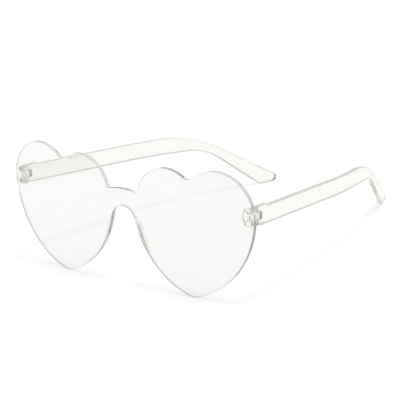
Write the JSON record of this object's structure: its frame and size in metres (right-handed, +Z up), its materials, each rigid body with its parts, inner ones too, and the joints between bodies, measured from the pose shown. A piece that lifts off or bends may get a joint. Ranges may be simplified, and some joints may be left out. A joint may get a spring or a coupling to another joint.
{
  "type": "heart shaped sunglasses",
  "caption": "Clear rimless sunglasses with a bent heart-shaped lens shield, soft nose pads and flat bowed temples that fold inward on pinned hinges.",
  "frame": {"origin": "on the surface the glasses stand on, under the middle of their bounding box, temples open", "axes": "+Z up, +Y from the lenses back to the temple tips, +X to the wearer's left; X = 0 is the mirror plane"},
  "size_m": [0.1446, 0.1532, 0.0594],
  "materials": {
    "clear_lens": "clear polished sheet",
    "clear_temple": "clear polished moulding",
    "clear_hinge": "clear polished moulding",
    "clear_pin": "clear polished rod",
    "soft_pad": "clear soft silicone"
  },
  "bodies": {
    "front": {"lens_shield": "clear_lens", "left_nose_pad": "soft_pad", "right_nose_pad": "soft_pad", "left_end_piece": "clear_hinge", "right_end_piece": "clear_hinge"},
    "left_arm": {"left_temple": "clear_temple", "left_hinge_pin": "clear_pin"},
    "right_arm": {"right_temple": "clear_temple", "right_hinge_pin": "clear_pin"}
  },
  "joints": [
    {"name": "left_temple_fold", "type": "hinge", "parent": "front", "child": "left_arm", "pos_m": [0.0695, -0.06573, 0.04004], "axis": [0, 0.0488, 0.9988], "range_deg": [0, 78]},
    {"name": "right_temple_fold", "type": "hinge", "parent": "front", "child": "right_arm", "pos_m": [-0.0695, -0.06573, 0.04004], "axis": [0, -0.0488, -0.9988], "range_deg": [0, 71]}
  ]
}
